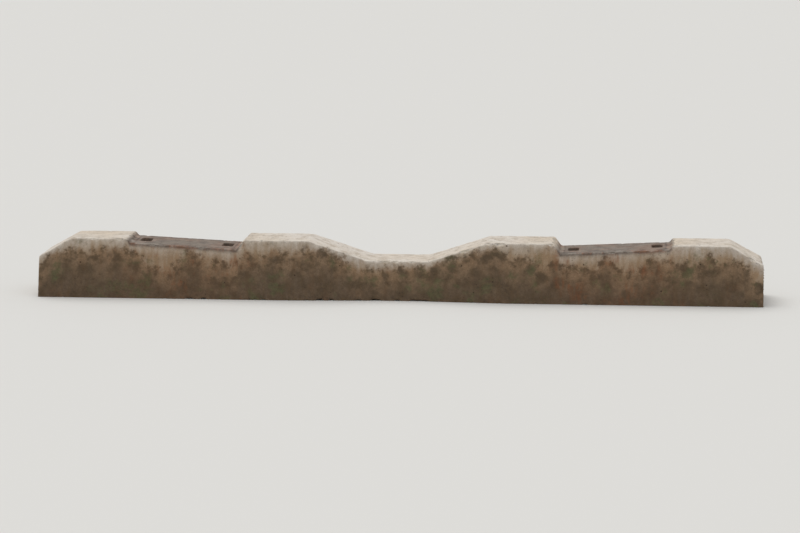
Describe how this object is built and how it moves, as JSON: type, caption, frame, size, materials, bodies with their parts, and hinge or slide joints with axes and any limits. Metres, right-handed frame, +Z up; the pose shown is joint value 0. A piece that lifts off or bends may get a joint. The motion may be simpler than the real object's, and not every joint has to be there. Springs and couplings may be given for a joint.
{
  "type": "railway sleeper",
  "caption": "Prestressed concrete railway sleeper with raised canted rail seats, T bolt slots, a sunk narrower middle and sloping ends.",
  "frame": {"origin": "centre of the underside", "axes": "+X along the sleeper, +Y across it, +Z up through the rail seats"},
  "size_m": [2.7, 0.3, 0.218],
  "materials": {
    "concrete": "moulded concrete, weathered and soiled",
    "washer_steel": "pressed steel plate, rusted"
  },
  "bodies": {
    "root": {"concrete_sleeper": "concrete", "anchor_washer_left_inner": "washer_steel", "anchor_washer_left_outer": "washer_steel", "anchor_washer_right_inner": "washer_steel", "anchor_washer_right_outer": "washer_steel"}
  },
  "joints": []
}
